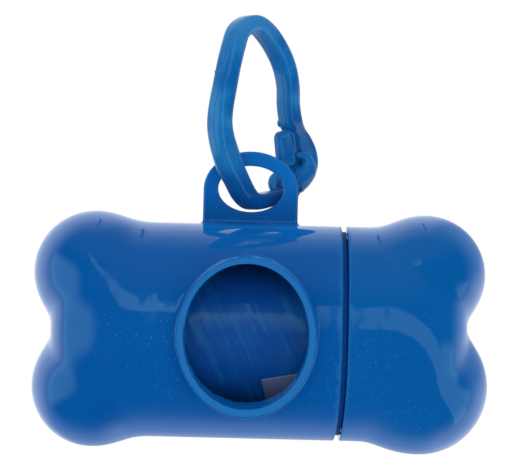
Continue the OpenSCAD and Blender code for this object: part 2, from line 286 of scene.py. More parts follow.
def end_rings(leans, inset, reach, lobes, blend):
    """Rings of the lobed end about its centre, one for each lean from the tip, as forward, y and z."""
    lean = leans[:, None]
    u = np.stack([np.cos(lean) + 0 * turn, -np.sin(lean) * np.cos(turn), np.sin(lean) * np.sin(turn)], -1)
    return u * end_reach(u, inset, reach, lobes, blend)[..., None]


def eased(t):
    """S-shaped run from 0 to 1: three times the square less twice the cube, level past both ends."""
    t = np.clip(t, 0, 1)
    return t * t * (3 - 2 * t)


def run_rings(backs, inset, reach, lobes, blend, fade_len):
    """Rings at fixed distances behind the end's centre: the lobes' last swell fades into the barrel. The
    lean at which a ring's radius meets its distance is found by going round six times."""
    back = backs[:, None]
    r = np.full((len(backs), around), barrel_r - inset)
    for _ in range(6):
        lean = np.arctan2(r, -back)
        u = np.stack([np.cos(lean), -np.sin(lean) * np.cos(turn), np.sin(lean) * np.sin(turn)], -1)
        r = end_reach(u, inset, reach, lobes, blend) * np.sin(lean)
    r = barrel_r - inset + (r - barrel_r + inset) * (1 - eased(back / fade_len))
    return np.stack([-back + 0 * r, -r * np.cos(turn), r * np.sin(turn)], -1)


def turned_rings(profile):
    """Rings of revolution about the barrel's axis from places along it and radii."""
    x, r = np.array(profile, float).T
    return np.stack([x[:, None] + 0 * turn, -r[:, None] * np.cos(turn), r[:, None] * np.sin(turn)], -1)


def arc(cx, cr, radius, start, stop, steps):
    """Points of a rounded edge in the turned profile, from one angle to another in degrees."""
    a = np.radians(np.linspace(start, stop, steps + 1))
    return [(cx + radius * c, cr + radius * s) for c, s in zip(np.cos(a), np.sin(a))]


def bead(x, width, height, r, steps=10):
    """Rounded grip bead round the neck: a raised half wave."""
    t = np.linspace(0, 1, steps + 1)
    return list(zip(x + width * t, r + height * np.sin(pi * t) ** 0.8))


class Patchwork:
    """Points and faces of one piece, gathered grid by grid and welded where their edges meet."""

    def __init__(self):
        self.points, self.faces, self.marks, self.count = [], [], [], 0

    def add(self, grid, closed=False, mark=0.0, keep=None):
        """Adds a grid of points. keep says which of its quads are made."""
        rows, columns = grid.shape[:2]
        faces = grid_faces(rows, columns, closed)
        if keep is not None:
            faces = faces[keep.reshape(-1)]
        self.points.append(grid.reshape(-1, 3))
        self.marks.append(np.full(rows * columns, mark))
        self.faces.append(faces + self.count)
        self.count += rows * columns

    def cap(self, pole, loop):
        """Closes a loop of points with triangles to a pole."""
        n = len(loop)
        self.points.append(np.vstack([pole[None], loop]))
        self.marks.append(np.zeros(n + 1))
        k = np.arange(n)
        self.faces.append(np.stack([0 * k, 1 + k, 1 + (k + 1) % n], -1) + self.count)
        self.count += n + 1

    def object(self, name, mark_name="cut"):
        """Welded, closed mesh object in metres, with faces outwards and the marks as an attribute."""
        points = np.vstack(self.points) + np.array([0, 0, axis_z])
        piece = mesh_object(name, points * 0.001, self.faces)
        layer = piece.data.attributes.new(mark_name, "FLOAT", "POINT")
        layer.data.foreach_set("value", np.concatenate(self.marks))
        work = bmesh.new()
        work.from_mesh(piece.data)
        bmesh.ops.remove_doubles(work, verts=work.verts, dist=0.000004)
        bmesh.ops.dissolve_degenerate(work, edges=work.edges, dist=0.0000005)
        bmesh.ops.recalc_face_normals(work, faces=work.faces)
        if work.calc_volume(signed=True) < 0:
            bmesh.ops.reverse_faces(work, faces=work.faces)
        work.to_mesh(piece.data)
        work.free()
        piece.data.update()
        return piece


def blend_rings(first, last, steps):
    """Rings from one loop to another at these shares of the way."""
    t = np.asarray(steps)[:, None, None]
    return first[None] * (1 - t) + last[None] * t


def bend_rings(start, corner, end, steps):
    """Rings of a fillet: a parabola from start to end whose tangents meet at the corner."""
    t = np.linspace(0, 1, steps + 1)[:, None, None]
    return (1 - t) ** 2 * start + 2 * t * (1 - t) * corner + t * t * end


def from_centre(grid, centre_x, way):
    """Turns forward from an end's centre into a place along the barrel. way is -1 for the left end."""
    return np.stack([centre_x + way * grid[..., 0], grid[..., 1], grid[..., 2]], -1)


shell = Patchwork()
# an end's shape is its reach, its lobes, and how softly they blend. Each lobe has its centre's two places,
# its radius and its depth
left_x, left_fade, run_end, shoulder_x = -20.92, 9.0, 16.6, 15.45
left_shape = (15.5, [(7.88, 10.53, 11.23, 15.5), (7.94, -10.81, 11.19, 15.5)], 1.19)
body_rim, neck_r, neck_bore_r, neck_end = 17.25, 17.5, 16.2, 26.25
groove_w, groove_r, rim_round, small_round = 0.88, 19.0, 0.32, 0.3
rim_mark, face_mark, groove_shade_mark = 0.4, 1.0, -1.0
leans = radians(90) * np.linspace(0, 1, 91)[1:]
run_x = np.linspace(left_x, run_end, 76)
outer_end = from_centre(end_rings(leans, 0, *left_shape), left_x, -1)
outer_run = from_centre(run_rings(run_x - left_x, 0, *left_shape, left_fade), left_x, -1)
shell.cap(np.array([outer_end[0, :, 0].min(), 0, 0]), outer_end[0])
shell.add(outer_end, closed=True)

# the barrel's grid leaves out the quads under the window and the lug, which have grids of their own. Rows
# run along the barrel, and columns round it from the front over the top
window_reach, lug_reach = 14.8, 10.8
win_a, win_b, lug_a, lug_b = (int(np.abs(run_x - x).argmin())
                              for x in (-window_reach, window_reach, -lug_reach, lug_reach))
win_t, lug_t, top = 32, 5, around // 4
i = np.arange(len(run_x) - 1)[:, None]
j = np.arange(around)[None, :]
ahead = (j + around // 2) % around - around // 2
in_window = (i >= win_a) & (i < win_b) & (ahead >= -win_t) & (ahead < win_t)
in_lug = (i >= lug_a) & (i < lug_b) & (j >= top - lug_t) & (j < top + lug_t)
shell.add(outer_run, closed=True, keep=~(in_window | in_lug))

profile = [(run_end, barrel_r)] + arc(body_rim - rim_round, barrel_r - rim_round, rim_round, 90, 0, 8)
shell.add(turned_rings(profile), closed=True, mark=rim_mark)
# the neck's shoulder keeps the cap's rim off the body's, so only a shallow groove shows between them,
# darkened with painted shade
groove_end = body_rim + groove_w
profile = profile[-1:] + [(body_rim, groove_r + 0.1), (body_rim + 0.12, groove_r)]
profile += [(groove_end - 0.08, groove_r), (groove_end, groove_r - 0.1), (groove_end, neck_r + 0.5)]
shell.add(turned_rings(profile), closed=True, mark=groove_shade_mark)
# the neck with its two beads, its end, its bore, and the shoulder inside where the barrel's wider bore starts
profile = profile[-1:] + arc(groove_end + small_round, neck_r + small_round, small_round, 180, 270, 5)
profile += bead(body_rim + 2.5, 1.2, 0.5, neck_r) + bead(neck_end - 2.0, 1.2, 0.5, neck_r)
profile += arc(neck_end - 0.4, neck_r - 0.4, 0.4, 90, 0, 5)
profile += arc(neck_end - small_round, neck_bore_r + small_round, small_round, 0, -90, 5)
profile += [(x, neck_bore_r) for x in np.linspace(25, 16.2, 10)]
profile += arc(shoulder_x + small_round, neck_bore_r + small_round, small_round, 270, 180, 5)
profile += arc(shoulder_x - small_round, bore_r - small_round, small_round, 0, 90, 5)
shell.add(turned_rings(profile), closed=True)
inner_x = np.append(run_x[: win_b + 1], shoulder_x - small_round)[::-1]
inner_run = from_centre(run_rings(inner_x - left_x, wall, *left_shape, left_fade), left_x, -1)
inner_run[0] = turned_rings([(shoulder_x - small_round, bore_r)])[0]
last = len(inner_x) - 1
i = np.arange(last)[:, None]
hole = (i >= last - win_b) & (i < last - win_a) & (ahead >= -win_t) & (ahead < win_t)
shell.add(inner_run, closed=True, keep=~hole)
inner_end = from_centre(end_rings(leans[::-2], wall, *left_shape), left_x, -1)
shell.add(inner_end, closed=True)
shell.cap(np.array([inner_end[-1, :, 0].min(), 0, 0]), inner_end[-1])


def hole_loop(grid, a, b, half, middle):
    """Points round a rectangular hole of the barrel's grid, as one closed loop: from row a to b, and half
    columns to either side of the middle one."""
    up = [(middle + k) % around for k in range(-half, half + 1)]
    low = [grid[k, up[0]] for k in range(a, b)]
    right = [grid[b, k] for k in up[:-1]]
    high = [grid[k, up[-1]] for k in range(b, a, -1)]
    left = [grid[a, k] for k in up[:0:-1]]
    return np.array(low + right + high + left)


# the collar: a foot that sweeps up from the barrel, a wall, a sliced face and the hole behind it
collar_x, collar_z, collar_face, collar_w = 12.42, 14.3, -21.5, 1.7
collar_drop, edge = 0.27, 0.22
loop = hole_loop(outer_run, win_a, win_b, win_t, 0)
angle = np.arctan2(loop[:, 2] / collar_z, loop[:, 0] / collar_x)
cos_a, sin_a = np.cos(angle), np.sin(angle)


def on_barrel(x, z, r):
    """Puts places seen from the front on the front of a barrel of radius r."""
    return np.stack([x, -np.sqrt(r * r - z * z), z], -1)


def oval(grow, y):
    """The collar's oval grown by an amount, at depth y. It sits a little low, less so the smaller it is."""
    drop = collar_drop * np.clip(1 + grow / 1.4, 0, 1)
    return np.stack([(collar_x + grow) * cos_a, y + 0 * cos_a, (collar_z + grow) * sin_a - drop], -1)


# the foot is 0.62 mm wide at the sides and 0.5 mm above and below
foot = 0.62 - 0.12 * sin_a**2
foot_points = on_barrel((collar_x + foot) * cos_a, (collar_z + foot) * sin_a, barrel_r)
flat_rings = blend_rings(loop, foot_points, np.linspace(0, 1, 8))
flat_rings[..., 1] = -np.sqrt(barrel_r**2 - flat_rings[..., 2] ** 2)
flat_rings[0] = loop
shell.add(flat_rings, closed=True)
corner = oval(0.12, 0)
corner[:, 1] = (barrel_r**2 - foot_points[:, 2] * corner[:, 2]) / foot_points[:, 1]
# its fillet climbs 1.1 times as high as it is wide, or 0.55 of the wall's height where that is less
climb = np.minimum(foot * 1.1, 0.55 * (corner[:, 1] - collar_face))
wall_foot = corner.copy()
wall_foot[:, 1] -= climb
wall_foot[:, 0] *= collar_x / (collar_x + 0.06)
shell.add(bend_rings(foot_points, corner, wall_foot, 10), closed=True)
wall_top = oval(0, collar_face + edge)
shell.add(blend_rings(wall_foot, wall_top, np.linspace(0, 1, 7)), closed=True)
edge_rings = [oval(edge * (cos(a) - 1), collar_face + edge * (1 - sin(a)))
              for a in np.radians(np.linspace(0, 90, 6))]
shell.add(np.stack(edge_rings), closed=True)
# the knife has left the face's inner edge ragged, most of all low on the left: a sum of five waves round it
draw = np.random.default_rng(7)
ragged = np.zeros(len(angle))
for wave, size in ((9, 0.02), (17, 0.02), (31, 0.03), (53, 0.025), (87, 0.02)):
    ragged += size * np.sin(wave * angle + draw.uniform(0, 6.28))
ragged *= np.clip(0.12 - sin_a - 0.35 * cos_a, 0, 1.3) + 0.12
# the face is about 1.5 mm wide, less at the sides. The hole behind it narrows inwards, most of all low down
low_down = np.clip(-sin_a, 0, 1) ** 3
inner_grow = -collar_w + 0.25 + 0.18 * np.abs(cos_a) + 0.2 * np.clip(-cos_a, 0, 1) ** 2
bore_grow = inner_grow - 0.22 - 0.45 * low_down + ragged
inner_grow = inner_grow + 0.12 * low_down + 0.3 * ragged
face_grow = [-edge, -edge - 0.06, -0.45, -0.62, -0.8, inner_grow + 0.1, inner_grow + 0.03]
rings = [oval(g, collar_face) for g in face_grow]
shell.add(np.stack(rings), closed=True, mark=face_mark)
lip = oval(inner_grow, collar_face + 0.07)
shell.add(np.stack([rings[-1], lip]), closed=True)
inner_loop = hole_loop(inner_run[::-1], win_a, win_b, win_t, 0)
wall_climb = 0.7
inner_foot = on_barrel((collar_x - collar_w + 1.15) * cos_a, (collar_z - collar_w + 0.7) * sin_a, bore_r)
inner_wall = oval(bore_grow, 0)
inner_wall[:, 1] = -np.sqrt(bore_r**2 - inner_wall[:, 2] ** 2) - wall_climb
shell.add(blend_rings(lip, inner_wall, np.linspace(0, 1, 12)), closed=True)
corner = inner_wall.copy()
corner[:, 1] += wall_climb
shell.add(bend_rings(inner_wall, corner, inner_foot, 5), closed=True)
flat_rings = blend_rings(inner_foot, inner_loop, np.linspace(0, 1, 6))
flat_rings[..., 1] = -np.sqrt(bore_r**2 - flat_rings[..., 2] ** 2)
flat_rings[-1] = inner_loop
shell.add(flat_rings, closed=True)

# the lug: a plate pinched flat in the mould, with rounded edges, on a small fillet. Half its width, half its
# thickness and its arch's height come first, then half the eye's width and height
lug_w, lug_half, lug_arch, eye_x, eye_z = 8.85, 1.2, 7.2, 6.1, 4.3
eye_up, spring, lug_round, eye_round = -axis_z, -0.2 - axis_z, 0.4, 0.35


def plate_edge(s, rounding, flat=0.45):
    """Edge of the lug's plate for s from -1 to 1 across it: level up to the flat share of each half, then a
    quarter circle. Gives the turn of the edge, how far it is drawn in, and its depth."""
    turned = np.radians(np.interp(np.abs(s), [0, flat, 1], [0, 0, 90]))
    level = lug_half - rounding
    depth = np.sign(s) * np.where(turned > 0, level + rounding * np.sin(turned), np.abs(s) / flat * level)
    return turned, rounding * (1 - np.cos(turned)), depth


long_cells = lug_b - lug_a
s = np.linspace(-1, 1, 2 * lug_t + 1)
edge_turn, edge_inset, edge_y = plate_edge(s, lug_round)
edge_out = np.stack([np.cos(edge_turn), np.sign(s) * np.sin(edge_turn)], -1)
# the hole's loop runs along the lug's front face first, and so does the plate's base
loop = hole_loop(outer_run, lug_a, lug_b, lug_t, top)
line = np.linspace(-1, 1, long_cells + 1) * (lug_w - lug_round)
low = np.stack([line, 0 * line - lug_half], -1)[:-1]
side = np.stack([lug_w - edge_inset, edge_y], -1)[:-1]
base = np.vstack([low, side, -low, -side])
out = np.vstack([np.tile([0, -1], (long_cells, 1)), edge_out[:-1],
                 np.tile([0, 1], (long_cells, 1)), -edge_out[:-1]])
fillet = 0.75
foot_xy = base + out * fillet
foot_points = np.stack([foot_xy[:, 0], foot_xy[:, 1], np.sqrt(barrel_r**2 - foot_xy[:, 1] ** 2)], -1)
flat_rings = blend_rings(loop, foot_points, np.linspace(0, 1, 5))
flat_rings[1:, :, 2] = np.sqrt(barrel_r**2 - flat_rings[1:, :, 1] ** 2)
shell.add(flat_rings, closed=True)
corner_z = (barrel_r**2 - foot_points[:, 1] * base[:, 1]) / foot_points[:, 2]
corner = np.stack([base[:, 0], base[:, 1], corner_z], -1)
lug_foot = barrel_r + 0.85
base_points = np.stack([base[:, 0], base[:, 1], 0 * base[:, 0] + lug_foot], -1)
shell.add(bend_rings(foot_points, corner, base_points, 7), closed=True)
# its outline goes up the right side, over the arch and down the left side
side_steps, arch_steps = 16, 64
t = np.linspace(0, 1, side_steps + 1)[:-1]
a = np.linspace(0, pi, arch_steps + 1)
right = np.stack([0 * t + lug_w, lug_foot + (spring - lug_foot) * t], -1)
over = np.stack([lug_w * np.cos(a), spring + lug_arch * np.sin(a)], -1)
outline = np.vstack([right, over, right[::-1] * [-1, 1]])
over_out = np.stack([np.cos(a) / lug_w, np.sin(a) / lug_arch], -1)
over_out /= np.linalg.norm(over_out, axis=1)[:, None]
outward = np.vstack([np.tile([1.0, 0], (side_steps, 1)), over_out, np.tile([-1.0, 0], (side_steps, 1))])
brim = outline[:, None, :] - outward[:, None, :] * edge_inset[None, :, None]
shell.add(np.stack([brim[..., 0], 0 * brim[..., 0] + edge_y[None, :], brim[..., 1]], -1))
face_line = np.stack([line, 0 * line + lug_foot], -1)
rim = np.vstack([face_line[:-1], (outline - outward * lug_round)[:-1]])
rim = np.stack([rim[:, 0], 0 * rim[:, 0], rim[:, 1]], -1)
angle = np.arctan2((rim[:, 2] - eye_up) / eye_z, rim[:, 0] / eye_x)


def eye_ring(grow, y):
    """Oval of the lug's eye grown by an amount, at depth y."""
    x, z = (eye_x + grow) * np.cos(angle), eye_up + (eye_z + grow) * np.sin(angle)
    return np.stack([x, y + 0 * angle, z], -1)


rim_steps = [0, 0.03, 0.12, 0.3, 0.5, 0.7, 0.88, 0.97, 1]
for y in (-lug_half, lug_half):
    shell.add(blend_rings(rim + [0, y, 0], eye_ring(eye_round, y), rim_steps), closed=True)
_, eye_grow, eye_y = plate_edge(np.linspace(-1, 1, 17), eye_round)
shell.add(np.stack([eye_ring(grow, y) for grow, y in zip(eye_grow, eye_y)]), closed=True)


def lean_seam(points):
    """Leans the seam to the left, as both rims are cut a little askew: by 0.2 mm, and by the cube of how low
    a point is up to 0.6 mm more. It starts 8 mm right of the eye and fades out again before 34 mm."""
    near = np.clip((points[:, 0] - 8) / 9, 0, 1) ** 2 * np.clip((34 - points[:, 0]) / 7, 0, 1)
    shift = near * (0.2 + 0.6 * np.clip(-points[:, 2] / barrel_r, 0, 1) ** 3)
    return points - np.stack([shift, 0 * shift, 0 * shift], -1)


shell.points = [lean_seam(points) for points in shell.points]
body_shell = shell.object("body_shell_blown")
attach(body_shell, "shell")
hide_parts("body_shell")


def new_group(name, inputs, outputs):
    """New shader node group with named sockets: the group, its paint, what it is given and its end node."""
    group = bpy.data.node_groups.new(name, "ShaderNodeTree")
    for way, sockets in (("INPUT", inputs), ("OUTPUT", outputs)):
        for socket, kind in sockets.items():
            group.interface.new_socket(socket, in_out=way, socket_type="NodeSocket" + kind)
    given, result = group.nodes.new("NodeGroupInput").outputs, group.nodes.new("NodeGroupOutput")
    return group, Paint(group), given, result


# the blown plastic: faintly wavy, paler with painted light shining through where the lug is pinched thin,
# with a painted sheen towards its outline, and fine pale specks. The cut mark makes it dull: lighter where
# the knife has been, with a painted highlight on the rims, and darker with painted shade in the seam's groove
blown_skin, skin, given, result = new_group(
    "blown_skin", {"Place": "Vector", "Slant": "Float", "Deep": "Color", "Pale": "Color"},
    {"Color": "Color", "Roughness": "Float", "Normal": "Vector"})
lug_glow_blue, sheen_blue, speck_blue = (0.005, 0.170, 0.58, 1), (0.006, 0.245, 0.80, 1), (0.45, 0.55, 0.7, 1)
trim_and_highlight_blue, groove_shade_blue = (0.0060, 0.142, 0.425, 1), (0.0010, 0.050, 0.260, 1)
place = given["Place"]
cut = skin.node("Attribute", attribute_name="cut").outputs["Fac"]
up = skin.node("SeparateXYZ", [(0, place)]).outputs["Z"]
tone = skin.toned(skin.noise(place, 90.0, 3.0), given["Deep"], given["Pale"])
# painted light: the lug is paler, as if light shone through its thin pinched plate
tone = skin.toned(skin.soft(up, -0.0055, 0.002, 0.0, 0.65), tone, lug_glow_blue)
# painted sheen: paler where the surface is seen at a slant
tone = skin.toned(given["Slant"], tone, sheen_blue)
# the knife's cut face is paler, and the rims, marked 0.4, get a painted highlight from the same tone
tone = skin.toned(cut, tone, trim_and_highlight_blue)
# painted shade: the seam's groove, marked below zero, is darkened
tone = skin.toned(skin.math("MULTIPLY", cut, -1.0), tone, groove_shade_blue)
dots = skin.node("TexVoronoi", [("Vector", place), ("Scale", 1900.0)]).outputs
near = skin.math("LESS_THAN", dots["Distance"], 0.20)
rare = skin.math("GREATER_THAN", skin.node("SeparateColor", [(0, dots["Color"])]).outputs[0], 0.74)
dusty = skin.soft(skin.noise(place, 45.0, 1.0), 0.46, 0.60, 0.0, 0.14, "LINEAR")
tone = skin.toned(skin.math("MULTIPLY", near, rare, dusty), tone, speck_blue)
skin.link(result, [("Color", tone), ("Roughness", skin.between(skin.math("ABSOLUTE", cut), 0.05, 0.5)),
                   ("Normal", skin.bump(skin.noise(place, 160.0, 2.0), 0.10, 0.0006))])


def dress_blown(piece, name, deep, pale):
    """Gives a blown piece its glossy plastic, and the dull kind to faces whose corners are all marked."""
    for finish, gloss in (("", 0.5), ("_trimmed", 0.12)):
        plastic, paint, shader = new_material(name + finish)
        place = paint.node("TexCoord").outputs["Object"]
        # the slant share paints a sheen into the base colour
        slant = paint.math("POWER", paint.node("LayerWeight", [("Blend", 0.5)]).outputs["Facing"], 3.0)
        look = paint.node("Group", [("Place", place), ("Slant", slant), ("Deep", deep), ("Pale", pale)],
                          node_tree=blown_skin).outputs
        paint.link(shader, [("Base Color", look["Color"]), ("Roughness", look["Roughness"]),
                            ("Normal", look["Normal"]), ("Specular IOR Level", gloss)])
        piece.data.materials.append(plastic)
    mesh = piece.data
    marks = np.zeros(len(mesh.vertices), np.float32)
    mesh.attributes["cut"].data.foreach_get("value", marks)
    corner = np.zeros(len(mesh.loops), np.int32)
    mesh.loops.foreach_get("vertex_index", corner)
    start = np.zeros(len(mesh.polygons), np.int32)
    mesh.polygons.foreach_get("loop_start", start)
    least = np.minimum.reduceat(np.abs(marks)[corner], start)
    mesh.polygons.foreach_set("material_index", (least > rim_mark - 0.01).astype(np.int32))


dress_blown(body_shell, "body_plastic", (0.0010, 0.075, 0.318, 1), (0.0020, 0.096, 0.352, 1))

# End cap: the blown other end of the bone, in the same plastic, with a rounded rim. Its lower lobe is the
# larger. It is pushed over the neck and held by the two beads.
cap = Patchwork()
right_x, right_fade, cap_rim, cap_bore = 25.09, 5.5, 18.25, 18.05
right_shape = (15.5, [(7.92, 11.34, 11.04, 15.5), (7.19, -9.49, 12.63, 15.5)], 1.02)
outer_end = from_centre(end_rings(leans, 0, *right_shape), right_x, 1)
cap.cap(np.array([outer_end[0, :, 0].max(), 0, 0]), outer_end[0])
cap.add(outer_end, closed=True)
backs = np.linspace(0, right_x - cap_rim - rim_round, 14)
cap.add(from_centre(run_rings(backs, 0, *right_shape, right_fade), right_x, 1), closed=True)
profile = arc(cap_rim + rim_round, barrel_r - rim_round, rim_round, 90, 180, 8)
cap.add(turned_rings(profile), closed=True, mark=rim_mark)
profile = profile[-1:] + [(cap_rim, groove_r - 0.1)]
profile += arc(cap_rim + small_round, cap_bore + small_round, small_round, 180, 270, 5)
profile += [(x, cap_bore) for x in np.linspace(19.5, right_x, 8)]
cap.add(turned_rings(profile), closed=True)
inner_end = from_centre(end_rings(leans[::-2], wall, *right_shape), right_x, 1)
inner_end[0] = turned_rings([(right_x, cap_bore)])[0]
cap.add(inner_end, closed=True)
cap.cap(np.array([inner_end[-1, :, 0].max(), 0, 0]), inner_end[-1])
cap.points = [lean_seam(points) for points in cap.points]
end_cap = cap.object("end_cap_blown")
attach(end_cap, "cap")
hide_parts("end_cap")
dress_blown(end_cap, "cap_plastic", (0.0012, 0.084, 0.325, 1), (0.0022, 0.105, 0.358, 1))

# Clip frame: one injection-moulded bar of smooth, slightly cloudy blue plastic, in a pear shape. The mould's
# parting line runs round its inner and outer faces, towards the front. It hangs in the lug's eye, turned 45
# degrees, and ends in a tongue that the gate's two cheeks hold between them.
clip_x, clip_turn = 0.8, radians(45)
bar_half, tongue_half, tongue_r = 2.12, 0.8, 2.35
knuckle = np.array([10.95, 2.8])
# the bar's middle line in the clip's own plane, seen from the front, and half its width at each place
clip_places = np.array([
    (10.95, 2.8, 1.75), (9.9, 0.1, 1.7), (6.6, -1.25, 1.55), (3.1, -1.82, 1.42), (0.5, -2.26, 1.5),
    (-1.4, -2.04, 1.76), (-3.2, -0.7, 2.05), (-5.0, 1.7, 2.12), (-7.35, 5.2, 2.3), (-9.6, 11.8, 2.05),
    (-8.15, 20.4, 1.88), (-6.55, 26.3, 1.85), (-5.0, 29.45, 1.75), (-1.25, 30.8, 1.62), (2.65, 28.75, 1.85),
    (6.35, 24.5, 1.85), (8.0, 20.2, 1.8), (8.3, 16.2, 1.8), (9.15, 12.9, 1.85), (10.5, 10.9, 2.05),
    (11.95, 9.2, 2.35), (13.15, 7.0, 2.6), (13.5, 4.9, 2.5), (12.3, 2.9, 1.95)])


def smooth_line(places, steps):
    """Catmull-Rom curve through places, with even steps between each two of them."""
    p = np.vstack([places[:1], places, places[-1:]])
    t = np.linspace(0, 1, steps, endpoint=False)[None, :, None]
    a, b, c, d = p[:-3, None], p[1:-2, None], p[2:-1, None], p[3:, None]
    line = 0.5 * (2 * b + (c - a) * t + (2 * a - 5 * b + 4 * c - d) * t**2 + (3 * b - a - 3 * c + d) * t**3)
    return np.vstack([line.reshape(-1, places.shape[1]), places[-1:]])


def bar_nodes(line_at=0.0, fine=(0.06, 0.12, 0.19)):
    """Nodes round a rounded rectangle: share of the flat half sides, and the corner arc's cosine and sine.
    The nodes stand closer together on both sides of the parting line."""
    extra = [line_at] + [line_at + side * step for side in (-1, 1) for step in fine]
    face = np.unique(np.clip(np.concatenate([np.linspace(-1, 1, 7), extra]), -1, 1).round(4))
    wide = np.linspace(1, -1, 6)
    a = np.radians(np.linspace(0, 90, 8))[1:-1]
    one = np.ones_like
    sides = [(one(face), face, one(face), 0 * face), (one(a), one(a), np.cos(a), np.sin(a)),
             (wide, one(wide), 0 * wide, one(wide)), (-one(a), one(a), -np.sin(a), np.cos(a)),
             (-one(face), face[::-1], -one(face), 0 * face), (-one(a), -one(a), -np.cos(a), -np.sin(a)),
             (-wide, -one(wide), 0 * wide, -one(wide)), (one(a), -one(a), np.sin(a), -np.cos(a))]
    return [np.concatenate(column) for column in zip(*sides)]


def section(half_in, half_out, front, back, corner, groove, parting=-0.72, parting_w=0.09):
    """Rounded rectangles, one row for each ring: across (inwards +) and through the clip (back +). The
    parting line is a groove with the profile of a bell curve."""
    flat_a, flat_b, arc_a, arc_b = bar_nodes(parting)
    half_in, half_out, front, back, corner = (np.asarray(v, float).reshape(-1, 1)
                                              for v in (half_in, half_out, front, back, corner))
    wide, deep = (half_in + half_out) / 2, (front + back) / 2
    a = (wide - corner) * flat_a + corner * arc_a
    b = (deep - corner) * flat_b + corner * arc_b
    bell = np.exp(-((flat_b - parting) / parting_w) ** 2) * (np.abs(arc_a) > 0.999)
    a = a - np.sign(arc_a) * groove * bell
    return a + (half_in - half_out) / 2, b + (back - front) / 2


def heading(line):
    """Unit vector along a line in the clip's plane, at each of its points."""
    along = np.gradient(line[:, :2], axis=0)
    return along / np.linalg.norm(along, axis=1)[:, None]


def carried(line, along, a, b):
    """Rings carried along a line in the clip's plane: a across it, inwards, and b through the clip."""
    return np.stack([line[:, :1] + a * along[:, 1:], b, line[:, 1:2] - a * along[:, :1]], -1)


def lapped(grid, radius, upto, steps=8):
    """Cuts the bar at an arc about the knuckle, where frame and gate meet. upto is the last ring that is
    well clear of the arc: each of the bar's lines is drawn out anew from there to where it meets the arc."""
    reach = np.hypot(grid[:, :, 0] - knuckle[0], grid[:, :, 2] - knuckle[1]) - radius
    past = np.arange(len(grid) - 1)[:, None] >= len(grid) // 2
    hit = (np.sign(reach[:-1]) != np.sign(reach[1:])) & past
    ring = hit.argmax(0)
    column = np.arange(grid.shape[1])
    here, ahead = reach[ring, column], reach[ring + 1, column]
    meet = ring + here / (here - ahead)
    at = upto + (meet - upto) * np.append(np.arange(steps) / steps, [0.995, 1.0])[:, None]
    low = np.clip(np.floor(at).astype(int), 0, len(grid) - 2)
    part = (at - low)[..., None]
    return grid[low, column] * (1 - part) + grid[low + 1, column] * part


def hang(grid):
    """Turns the clip's own plane to where it hangs in the eye, measured from the barrel's axis."""
    c, s = cos(clip_turn), sin(clip_turn)
    return np.stack([clip_x + c * grid[..., 0] - s * grid[..., 1], s * grid[..., 0] + c * grid[..., 1],
                     grid[..., 2] - axis_z], -1)


def close_ends(piece, grid, shares, mark=0.0):
    """Closes a grid's first and last ring, with rings that shrink by these shares and a fan in the middle."""
    for loop in (grid[0], grid[-1]):
        middle = loop.mean(0)
        rings = [loop] + [middle + (loop - middle) * share for share in shares]
        if shares:
            piece.add(hang(np.stack(rings)), closed=True, mark=mark)
        piece.cap(hang(middle), hang(rings[-1]))


def add_bar(piece, grid):
    """Adds a length of the bar, and closes its ends with flat faces that are rounded at the edge."""
    close_ends(piece, grid, (0.985, 0.6))
    piece.add(hang(grid), closed=True)


def add_block(piece, grid, shares=(0.9, 0.5), mark=0.0):
    """Adds a slab or a like form, and closes its two faces."""
    piece.add(hang(grid), closed=True, mark=mark)
    close_ends(piece, grid, shares, mark)


def loft(outline, layers):
    """Stack of one outline: each layer is an inset and a depth, and outline(inset) gives its places."""
    rings = []
    for inset, depth in layers:
        x, z = outline(inset)
        rings.append(np.stack([x, 0 * x + depth, z], -1))
    return np.stack(rings)


def disc(middle, radius, count=56):
    """Outline of a circle in the clip's plane, as a function of how far it is drawn in."""
    a = np.linspace(0, 2 * pi, count, endpoint=False)
    return lambda d: (middle[0] + (radius - d) * np.cos(a), middle[1] + (radius - d) * np.sin(a))


def rounded_layers(front, back, edge, steps=4):
    """Layers between two depths, each an inset and a depth: both edges turn in a quarter circle."""
    a = np.radians(np.linspace(0, 90, steps + 1))
    return ([(edge * (1 - sin(t)), front + edge * (1 - cos(t))) for t in a]
            + [(edge * (1 - cos(t)), back - edge * (1 - sin(t))) for t in a])


def slab(outline, front, back, edge):
    """Slab of an outline between two depths, with rounded edges and open faces."""
    return loft(outline, rounded_layers(front, back, edge))


clip = Patchwork()
per_place = 12
line = smooth_line(clip_places, per_place)
along = heading(line)
r = np.linalg.norm(line[:, :2] - knuckle, axis=1)
place_at = np.arange(len(line)) / per_place
first_half = np.arange(len(line)) < len(line) // 2
# the bar thins to the tongue beside the knuckle, and its blade, from the 18th place on, is shallower
depth = tongue_half + (bar_half - tongue_half) * np.where(first_half, eased((r - 3.3) / 0.35), 1)
half = line[:, 2] * np.where(first_half, np.clip(r / 1.8, 0.4, 1), 1.0)
blade = eased((place_at - 17.8) / 1.7)
corner = np.minimum(1.4, np.minimum(depth, half) * 0.7)
arm = carried(line, along, *section(half - 0.8 * blade, half, depth - 0.5 * blade, depth, corner,
                                    groove=0.12 * (1 - blade[:, None])))
# the blade's front is hollowed towards the inside of the loop, where the thumb block stands
inward = ((arm[..., 0] - line[:, None, 0]) * along[:, None, 1]
          - (arm[..., 2] - line[:, None, 1]) * along[:, None, 0])
hollow = 1 - 0.55 * blade[:, None] * np.clip(0.55 + inward / (2 * half[:, None]), 0, 1)
arm[..., 1] *= np.where(arm[..., 1] < 0, hollow, 1)
frame_clear, lap_r, lap_gap = 17 * per_place, 8.33, 0.02
add_bar(clip, np.concatenate([arm[:frame_clear], lapped(arm, lap_r, frame_clear)]))
add_block(clip, slab(disc(knuckle, tongue_r), -tongue_half, tongue_half, 0.15), ())
